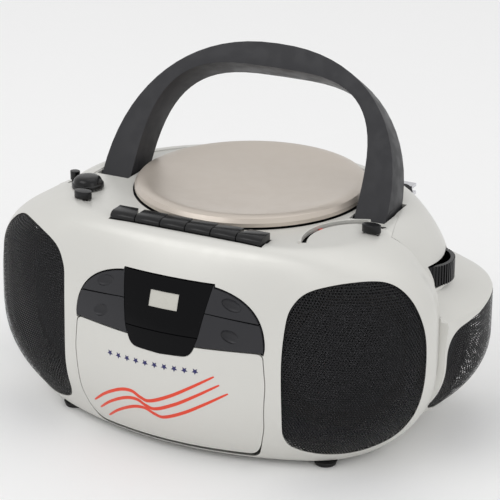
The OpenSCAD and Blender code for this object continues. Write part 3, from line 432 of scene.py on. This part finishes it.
# ---- cutting tools ----
def prism(outlines, place, name="cutter"):
    """Closed outlines, each carried from depth 0 to depth 1 of place(u, v, w)."""
    bm = bmesh.new()
    for outline in outlines:
        face = bm.faces.new([bm.verts.new((u, v, 0)) for u, v in outline])
        out = bmesh.ops.extrude_face_region(bm, geom=[face])["geom"]
        for v in out:
            if isinstance(v, bmesh.types.BMVert):
                v.co.z = 1
    for v in bm.verts:
        v.co = place(*v.co)
    bmesh.ops.triangulate(bm, faces=[f for f in bm.faces if len(f.verts) > 4])
    outward(bm)
    return finished(bm, name)


def through_front(x, z, w):
    return (x, -30 - 110 * w, z)


def upward(z0, z1):
    return lambda x, y, w: (x, y, z0 + (z1 - z0) * w)


def pod_place(side):
    c, s = math.cos(POD_TURN), math.sin(POD_TURN)

    def place(u, v, w):
        n = -4 - 70 * w
        return (side * (109 + u * c - n * s), -66 + u * s + n * c, v)

    return place


def across(x, half):
    """From x - half to x + half, for outlines in Y and height."""
    return lambda y, z, w: (x - half + 2 * half * w, y, z)


def flank_place(side):
    return lambda y, z, w: (side * (118 + 80 * w), y, z)


def block(x0, x1, y0, y1, z0, z1):
    return prism([[(x0, y0), (x1, y0), (x1, y1), (x0, y1)]], upward(z0, z1))


def circle_points(x, y, r, n):
    a = np.linspace(0, TAU, n, endpoint=False)
    return list(zip(x + r * np.cos(a), y + r * np.sin(a)))


def rod(x, y, r, z0, z1, n=64):
    return prism([circle_points(x, y, r, n)], upward(z0, z1))


def rod_y(x, z, r, y0, y1, n=48):
    return prism([circle_points(x, z, r, n)], lambda u, v, w: (u, y0 + (y1 - y0) * w, v))


def cut(target, tool, operation="DIFFERENCE"):
    """The tool taken from the target, added to it or kept in common with it. The tool is used up."""
    modifier = target.modifiers.new("cut", "BOOLEAN")
    modifier.operation, modifier.solver, modifier.object = operation, "MANIFOLD", tool
    graph = bpy.context.evaluated_depsgraph_get()
    mesh = bpy.data.meshes.new_from_object(target.evaluated_get(graph), depsgraph=graph)
    target.modifiers.clear()
    old, target.data = target.data, mesh
    bpy.data.meshes.remove(old)
    bpy.data.objects.remove(tool)
    return target


LOOP_STEPS = 8


def smooth_loop(points):
    """Closed curve through the points."""
    p = np.array(points, float)
    a, b, c = np.roll(p, 1, 0), np.roll(p, -1, 0), np.roll(p, -2, 0)
    out = []
    for i in range(len(p)):
        for t in np.arange(LOOP_STEPS) / LOOP_STEPS:
            out.append(0.5 * (
                2 * p[i] + (b[i] - a[i]) * t + (2 * a[i] - 5 * p[i] + 4 * b[i] - c[i]) * t * t
                + (3 * p[i] - a[i] - 3 * b[i] + c[i]) * t ** 3))
    return out


def rounded_loop(points, r, n=6):
    """Closed outline with its corners rolled by r."""
    p = np.array(points, float)
    out = []
    for i in range(len(p)):
        a, b = p[i - 1] - p[i], p[(i + 1) % len(p)] - p[i]
        la, lb = np.linalg.norm(a), np.linalg.norm(b)
        s, e = p[i] + a / la * min(r, la * 0.48), p[i] + b / lb * min(r, lb * 0.48)
        for t in np.linspace(0, 1, n):
            out.append((1 - t) ** 2 * s + 2 * t * (1 - t) * p[i] + t * t * e)
    return out


def grown(points, g):
    """Outline moved out by g."""
    p = np.array(points, float)
    along = np.roll(p, -1, 0) - np.roll(p, 1, 0)
    along /= np.linalg.norm(along, axis=1, keepdims=True)
    x, y = p[:, 0], p[:, 1]
    turn = np.sign(np.sum(x * np.roll(y, -1) - np.roll(x, -1) * y))
    return p + g * turn * np.stack([along[:, 1], -along[:, 0]], 1)


def soften(piece, width=0, segments=3):
    """Smooth shading on a finished piece, with its sharp edges rolled by width."""
    mesh = piece.data
    bm = bmesh.new()
    bm.from_mesh(mesh)
    bmesh.ops.remove_doubles(bm, verts=bm.verts, dist=2e-6)
    if width:
        bmesh.ops.dissolve_limit(
            bm, angle_limit=math.radians(0.3), verts=bm.verts, edges=bm.edges, delimit=set())
        sharp = [e for e in bm.edges if e.is_manifold and e.calc_face_angle(0) > math.radians(38)]
        bmesh.ops.bevel(
            bm, geom=sharp, offset=width * MM, offset_type="OFFSET", affect="EDGES", segments=segments,
            profile=0.5, material=-1, clamp_overlap=True)
        bmesh.ops.remove_doubles(bm, verts=bm.verts, dist=1e-6)
    for f in bm.faces:
        f.smooth = True
    for e in bm.edges:
        e.smooth = not (e.is_manifold and e.calc_face_angle(0) > math.radians(33))
    bm.to_mesh(mesh)
    bm.free()
    return piece


def dress(piece, body, finish, slot, *nodes):
    material = finish if isinstance(finish, bpy.types.Material) else FINISHES[finish]
    piece.data.materials.clear()
    piece.data.materials.append(material)
    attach(piece, body)
    if nodes:
        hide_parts(*nodes)
    return piece


def follow_case(piece, out, depth):
    """Keeps what lies between out millimetres proud of the case and depth below its surface."""
    cut(piece, form("whole", -out, step=False), "INTERSECT")
    return cut(piece, form("core", depth, step=False))


def skin(name, outlines, place, out, depth):
    """Panel that follows the case, from out millimetres proud to depth below the surface."""
    return follow_case(prism(outlines, place, name), out, depth)


def mirrored(points):
    return [(-u, v) for u, v in points][::-1]


# ---- outlines, as in the CAD ----
POD = smooth_loop([
    (-43, 40), (-44, 80), (-41, 108), (-36, 121), (-26, 130), (-8, 135), (12, 136), (26, 133), (36, 125),
    (43, 112), (47, 96), (47.5, 76), (45, 56), (39, 38), (28, 24), (8, 16), (-14, 15), (-32, 19),
    (-40, 26)])
FLANK = smooth_loop([
    (-16, 76), (-17.5, 64), (-17, 44), (-13, 30), (-2, 24), (30, 21), (56, 24), (76, 36), (87, 56),
    (86, 76), (76, 88), (56, 93), (22, 93), (-3, 89), (-12, 84)])
DOOR_RIGHT = [(56, 9.6), (60, 12.6), (64, 20), (68, 34), (70, 66), (68, 87.5)]
DOOR = rounded_loop(DOOR_RIGHT + mirrored(DOOR_RIGHT), 4)
GAP_RIGHT = [(56, 6.6), (60.6, 9.6), (64.6, 20), (68.6, 34), (70.6, 66), (68.6, 88.1)]
DOOR_GAP = rounded_loop(GAP_RIGHT + mirrored(GAP_RIGHT), 4)
HINGE_LUG = rounded_loop([(-93.4, 9.8), (-86.6, 9.8), (-86.6, 16.4), (-93.4, 16.4)], 3.2)
SPLIT = 94.0  # height of the line between the door's window and the fixed shield
SHIELD = rounded_loop([
    (33, 132.6), (26.3, SPLIT), (22.6, 84), (19, 81), (0, 80), (-19, 81), (-22.6, 84), (-26.3, SPLIT),
    (-33, 132.6)], 3)


def cluster_outline():
    a = np.radians(np.arange(90, 17, -3.0))
    right = list(zip(
        70 * (0.965 * np.sin(a) ** 0.62 + 0.02 * np.sin(a)), 87.5 + 40.1 * np.maximum(0, np.cos(a)) ** 0.8))
    right.append((33, 127.6))
    return right + mirrored(right)


CLUSTER = cluster_outline()


# ---- case shells ----
def seam_plan(g):
    """Plan of all that lies in front of the seam, with its rear edge moved back by g."""
    e = 200
    return [(-e, -e), (e, -e), (e, SEAM + g), (120, SEAM + g), (112, TOP_SEAM + g), (-112, TOP_SEAM + g),
            (-120, SEAM + g), (-e, SEAM + g)]


def arc_band(x, y, r, half, start, end, n=40):
    """Outline of a band round an arc, angles in degrees."""
    a = np.radians(np.linspace(start, end, n))
    out = [(x + (r + half) * math.cos(t), y + (r + half) * math.sin(t)) for t in a]
    return out + [(x + (r - half) * math.cos(t), y + (r - half) * math.sin(t)) for t in a[::-1]]


def deck_tools():
    """Openings that both shells may share on the deck."""
    tools = [rod(0, LID_Y, LID_HOLE, DECK - 12, DECK + 20, 160)]
    tools += [block(s * LEG_X - LEG_GAP, s * LEG_X + LEG_GAP, -8, 30, 140, DECK + 9) for s in (-1, 1)]
    return tools


def hollow(name):
    """The whole case with its inside taken out."""
    return cut(form(name, 0), form("core", WALL, step=False, soft_top=5, soft_low=4))


front = hollow("front_shell")
cut(front, prism([seam_plan(FRONT_EDGE)], upward(-10, DECK + 40)), "INTERSECT")
front_tools = deck_tools() + [
    prism([DOOR_GAP], through_front),
    prism([grown(CLUSTER, 0.7)], through_front),
    rod(*VOLUME, 4, DECK - 20, DECK + 20),
    block(-56.1, 56.1, -81.1, -66.4, 142.5, DECK + 9),  # well of the keys
    prism([arc_band(*DIAL, DIAL_R, 1.6, 108, 204)], upward(DECK - 12, DECK + 8)),
]
front_tools += [prism([grown(POD, 0.3)], pod_place(s)) for s in (-1, 1)]
front_tools += [block(x - 5.5, x + 5.5, y - 1.8, y + 1.8, DECK - 7, DECK + 7)
                for x, y in (FUNCTION, TONE, BAND)]
for tool in front_tools:
    cut(front, tool)
cut(front, prism([arc_band(*DIAL, DIAL_R + 2.5, 0.8, 106, 206)], upward(DECK - 1.5, DECK + 0.7)), "UNION")
for s in (-1, 1):
    for z in POST_HEIGHTS:
        post = rod_y(s * POST_X, z, 4.5, -60, SEAM - 0.2)
        cut(post, rod_y(s * POST_X, z, 1.7, -30, 0))
        cut(front, post, "UNION")
dress(soften(front), "case", "silver_case", "silver_case", "front_cabinet")

rear = hollow("rear_shell")
cut(rear, prism([seam_plan(REAR_EDGE)], upward(-10, DECK + 40)))
rear_tools = deck_tools() + [prism([grown(FLANK, 0.3)], flank_place(s)) for s in (-1, 1)]
rear_tools += [
    rod(*WHEEL, WHEEL_R + 1, 109, 125),
    block(-76, 76, 16, 64, -5, 20),  # battery opening
    block(-78, 78, 14, 74, -5, 4.5),  # recess of the battery door
    block(-71.3, -48.7, 60, 140, 28.2, 43.8),  # opening of the power inlet
    rod_y(77, 131, 6, 60, 140),  # hole for the antenna's swivel
]
for s in (-1, 1):
    rear_tools += [block(s * LID_HINGE_X - 5.5, s * LID_HINGE_X + 5.5, 86, 98.2, 141.5, DECK + 5),
                   block(s * LID_HINGE_X - 8.7, s * LID_HINGE_X + 8.7, 90.6, 96.4, 141.5, DECK + 5)]
    rear_tools += [rod_y(s * POST_X, z, 3.7, 40, 140) for z in POST_HEIGHTS]
for tool in rear_tools:
    cut(rear, tool)
dress(soften(rear), "case", "silver_case", "silver_case", "rear_cabinet")

# ---- grilles ----
for kind, outline, place, mesh, node in (
        ("pod_grille", POD, pod_place, POD_MESH, "front_grilles"),
        ("side_grille", FLANK, flank_place, SIDE_MESH, "rear_grilles")):
    for side, word in ((-1, "left"), (1, "right")):
        piece = skin(f"{kind}_{word}", [outline], place(side), -0.5, 2.0)
        if node == "front_grilles":
            cut(piece, prism([seam_plan(FRONT_EDGE)], upward(-10, DECK + 40)), "INTERSECT")
        dress(soften(piece), "case", mesh, "grille_black", node)

# ---- door and control cluster ----
door = prism([DOOR], through_front, "door_panel")
cut(door, prism([grown(SHIELD, 0.5)], through_front))
follow_case(door, 0, 2.4)
for x in (-DOOR_HINGE_X, DOOR_HINGE_X):
    lug = prism([HINGE_LUG], across(x, 4))
    web = block(x - 4, x + 4, -100.5, -90, 14.4, 16.4)
    cut(lug, prism([circle_points(*DOOR_PIVOT, 1.58, 40)], across(x, 5)))
    cut(web, form("whole", 1.2, step=False), "INTERSECT")
    cut(web, prism([circle_points(*DOOR_PIVOT, 3.3, 40)], across(x, 5)))
    cut(lug, web, "UNION")
    cut(door, lug, "UNION")
dress(soften(door), "tape_door", "silver_case", "silver_case", "cassette_door")

window = prism([SHIELD], through_front, "door_window")
cut(window, block(-90, 90, -200, 0, 60, SPLIT - 0.3), "INTERSECT")
follow_case(window, 0.4, 1.8)
dress(soften(window), "tape_door", "smoked_lens", "smoked_lens", "cassette_window")
lens = prism([SHIELD], through_front, "display_shield")
cut(lens, prism([CLUSTER], through_front), "INTERSECT")
cut(lens, block(-90, 90, -200, 0, SPLIT + 0.3, 200), "INTERSECT")
follow_case(lens, 0.4, 2)
cut(lens, prism([[(-10.5, 108.5), (10.5, 108.5), (10.5, 119), (-10.5, 119)]], through_front))
dress(soften(lens), "case", "smoked_lens", "smoked_lens", "display_lens")
panel = skin("display_glass", [[(-10.3, 108.7), (10.3, 108.7), (10.3, 118.8), (-10.3, 118.8)]],
             through_front, -0.1, 1.6)
dress(soften(panel), "case", "lcd_glass", "lcd_glass", "lcd_module")

for side, word in ((-1, "left"), (1, "right")):
    for row, cx, cz, line in (
            ("upper", 46.5, 117.4, [(0, 111.3), (32, 110.4), (80, 105.9), (80, 200), (0, 200)]),
            ("lower", 48, 97.6, [(0, 110.4), (32, 109.8), (80, 104.7), (80, 88.7), (0, 88.7)])):
        piece = prism([grown(CLUSTER, -0.3)], through_front, f"{row}_{word}_cap")
        cut(piece, prism([grown(SHIELD, 0.4)], through_front))
        cut(piece, block(min(0, side * 90), max(0, side * 90), -200, 0, 80, 140), "INTERSECT")
        cut(piece, prism([[(side * u, v) for u, v in line]], through_front), "INTERSECT")
        follow_case(piece, 0.7, 2.4)
        w, d, belly = front_size(cz)  # the dimple sits on the surface at cx, cz
        y = -float(d * (1 - (abs(cx) / w) ** FRONT_X) ** (1 / FRONT_Y) + belly * bump_out(cx))
        bm = bmesh.new()
        bmesh.ops.create_uvsphere(bm, u_segments=48, v_segments=24, radius=1)
        bmesh.ops.scale(bm, vec=(7.2, 2.3, 4.2), verts=bm.verts)
        bmesh.ops.rotate(bm, matrix=Matrix.Rotation(side * 0.22, 3, "Y"), verts=bm.verts)
        bmesh.ops.translate(bm, vec=(side * cx, y - 1.0, cz), verts=bm.verts)
        cut(piece, finished(bm, "dimple"))
        stem = rod_y(side * cx, cz, 2.5, y + 2, y + 8.6)
        cut(piece, stem, "UNION")
        node = f"{row}_{word}_button"
        dress(soften(piece), node, "button_grey", "button_grey", node)


# ---- door print ----
def star(x, z, outer=2.3, inner=1.1):
    """Outline of a five-pointed star."""
    radii = [inner, outer] * 5
    return [(x + r * math.sin(k * TAU / 10), z + r * math.cos(k * TAU / 10)) for k, r in enumerate(radii)]


stars = [star(-38.8 + 64.4 * i / 9, 70.3 + 1.3 * i / 9) for i in range(10)]
dress(soften(skin("star_row", stars, through_front, 0.1, 0.3)), "tape_door", NAVY, "pointer_red")
SWEEP = [(-70, 13), (-58, 23), (-46, 33), (-32, 41), (-22, 43), (-15, 40), (-8, 39), (7, 46), (22, 55),
         (38, 65), (52, 73)]
for i, (dx, dz) in enumerate(((0, 4.5), (3.5, -1), (9, -6.5))):
    line = np.array(smooth_loop(SWEEP)[LOOP_STEPS:LOOP_STEPS * (len(SWEEP) - 2) + 1]) + [dx, dz]
    along = np.gradient(line, axis=0)
    along /= np.linalg.norm(along, axis=1, keepdims=True)
    t = np.linspace(0, 1, len(line))[:, None]
    half = (0.5 + 0.8 * np.sin(math.pi * t) ** 0.5) * np.stack([-along[:, 1], along[:, 0]], 1)
    band = np.concatenate([line + half, (line - half)[::-1]])
    stripe = skin(f"stripe_{i + 1}", [band], through_front, 0.1, 0.3)
    dress(soften(stripe), "tape_door", STRIPE, "pointer_red")


# ---- pieces that keep the CAD shape, with rolled edges ----
def rolled(node, width, finish, segments=3):
    """A smoothly shaded copy of a CAD node, with its edges rolled by width."""
    source = frame["nodes"][node]
    piece = source.copy()
    piece.data = source.data.copy()
    piece.parent = None
    for key in [k for k in piece.keys() if k.startswith("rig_")]:
        del piece[key]
    piece.name = node + "_made"
    bpy.context.scene.collection.objects.link(piece)
    soften(piece, width, segments)
    return dress(piece, source["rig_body"], finish, finish, node)


for key in ("record", "play", "rewind", "fast_forward", "stop_eject", "pause"):
    rolled("key_" + key, 0.7, "black_gloss")
for node, width, finish in (
        ("function_knob", 0.8, "black_gloss"), ("tone_knob", 0.8, "black_gloss"),
        ("band_knob", 0.8, "black_gloss"), ("handle", 2.2, "handle_charcoal"),
        ("battery_door", 0.5, "silver_case")):
    rolled(node, width, finish, 4)

SMOOTH = {
    "cd_lid": "silver_lid", "antenna_swivel": "chrome_tube",
    "antenna_tube_outer": "chrome_tube", "antenna_tube_middle": "chrome_tube", "antenna_tip": "chrome_tube",
    "rubber_feet": "rubber_black", "front_drivers": "driver_steel", "rear_drivers": "driver_steel",
    "speaker_cones": "paper_cone", "button_bezel": "black_plastic", "cd_well": "black_plastic",
}
for node, finish in SMOOTH.items():
    rolled(node, 0, finish)

# domed volume knob with its skirt and shaft
bm = bmesh.new()
profile = [(0, 151.4), (11, 151.4), (11, 153.2), (10.7, 153.9), (10, 154.3), (9.6, 155.8), (8.8, 157.2),
           (7.4, 158.2), (5.4, 158.8), (2.8, 159), (0, 159)]
dots = [bm.verts.new((x, 0, z)) for x, z in profile]
line = [bm.edges.new(pair) for pair in zip(dots, dots[1:])]
bmesh.ops.spin(bm, geom=dots + line, cent=(0, 0, 0), axis=(0, 0, 1), angle=TAU, steps=96, use_merge=True)
bmesh.ops.remove_doubles(bm, verts=bm.verts, dist=1e-4)
bmesh.ops.translate(bm, vec=(*VOLUME, 0), verts=bm.verts)
outward(bm)
knob = finished(bm, "domed_knob")
cut(knob, rod(*VOLUME, 3, 138, 152), "UNION")
dress(soften(knob), "volume_knob", "black_gloss", "black_gloss", "volume_knob")

# ribbed thumbwheel
RIB = 0.6  # how far the ribs stand out
bm = bmesh.new()
bmesh.ops.create_cone(
    bm, cap_ends=True, segments=120, radius1=WHEEL_R - RIB, radius2=WHEEL_R - RIB, depth=14)
sides = [f for f in bm.faces if len(f.verts) == 4]
sides.sort(key=lambda f: math.atan2(f.calc_center_median().y, f.calc_center_median().x))
ribs = bmesh.ops.extrude_discrete_faces(bm, faces=sides[::2])["faces"]
for f in ribs:
    mid = f.calc_center_median()
    bmesh.ops.translate(bm, vec=Vector((mid.x, mid.y, 0)).normalized() * RIB, verts=f.verts)
bmesh.ops.translate(bm, vec=(*WHEEL, 117), verts=bm.verts)
wheel = finished(bm, "ribbed_wheel")
tub = rod(*WHEEL, 19, 113, 130)
cut(tub, rod(*WHEEL, 6, 100, 140))
cut(wheel, tub)
cut(wheel, rod(*WHEEL, 2.56, 100, 140))
dress(soften(wheel), "tuning_wheel", "black_gloss", "black_gloss", "tuning_wheel")

# the other CAD nodes keep their meshes and take their slots' finishes
slot_of = {p["node"]: p.get("material_slot") for p in frame["record"].get("subparts", [])}
for name, node in frame["nodes"].items():
    finish = FINISHES.get(slot_of.get(name), FINISHES["grey_plastic"])
    node.data.materials.clear()
    node.data.materials.append(finish)

# ---- floor, light and camera ----
bm = bmesh.new()
bmesh.ops.create_grid(bm, x_segments=2, y_segments=2, size=6000)
floor = finished(bm, "floor")
floor.data.materials.append(moulded(
    "floor_paper", srgb(246, 246, 246), 0.85, grain=2.0, depth=0.01, vary=0.01))

world = bpy.data.worlds.new("studio")
bpy.context.scene.world = world
world.use_nodes = True
world.node_tree.nodes["Background"].inputs["Color"].default_value = (1, 1, 1, 1)
world.node_tree.nodes["Background"].inputs["Strength"].default_value = 0.8


def softbox(name, place, aim, size, watts):
    lamp = bpy.data.lights.new(name, "AREA")
    lamp.shape, lamp.size, lamp.size_y, lamp.energy = "RECTANGLE", size[0], size[1], watts
    made = bpy.data.objects.new(name, lamp)
    bpy.context.scene.collection.objects.link(made)
    made.location = place
    made.rotation_euler = (Vector(aim) - Vector(place)).to_track_quat("-Z", "Y").to_euler()


softbox("key_light", (-0.7, -1.1, 1.7), (0, 0, 0.1), (1.4, 1.0), 7.5)
softbox("top_light", (0.2, 0.5, 1.9), (0, 0, 0.1), (1.6, 1.2), 3.0)
softbox("side_light", (1.5, -0.7, 0.8), (0, 0, 0.1), (0.8, 1.0), 1.8)

azimuth, elevation, distance = math.radians(27), math.radians(22), 1.365
aim = Vector((6.7, 0, 110.6)) * MM
back = Vector((
    math.sin(azimuth) * math.cos(elevation), -math.cos(azimuth) * math.cos(elevation), math.sin(elevation)))
camera_data = bpy.data.cameras.new("camera")
camera_data.lens, camera_data.sensor_width = 144, 36
camera = bpy.data.objects.new("camera", camera_data)
bpy.context.scene.collection.objects.link(camera)
camera.location = aim + back * distance
camera.rotation_euler = (-back).to_track_quat("-Z", "Y").to_euler()
bpy.context.scene.camera = camera
bpy.context.scene.view_settings.view_transform = "Standard"
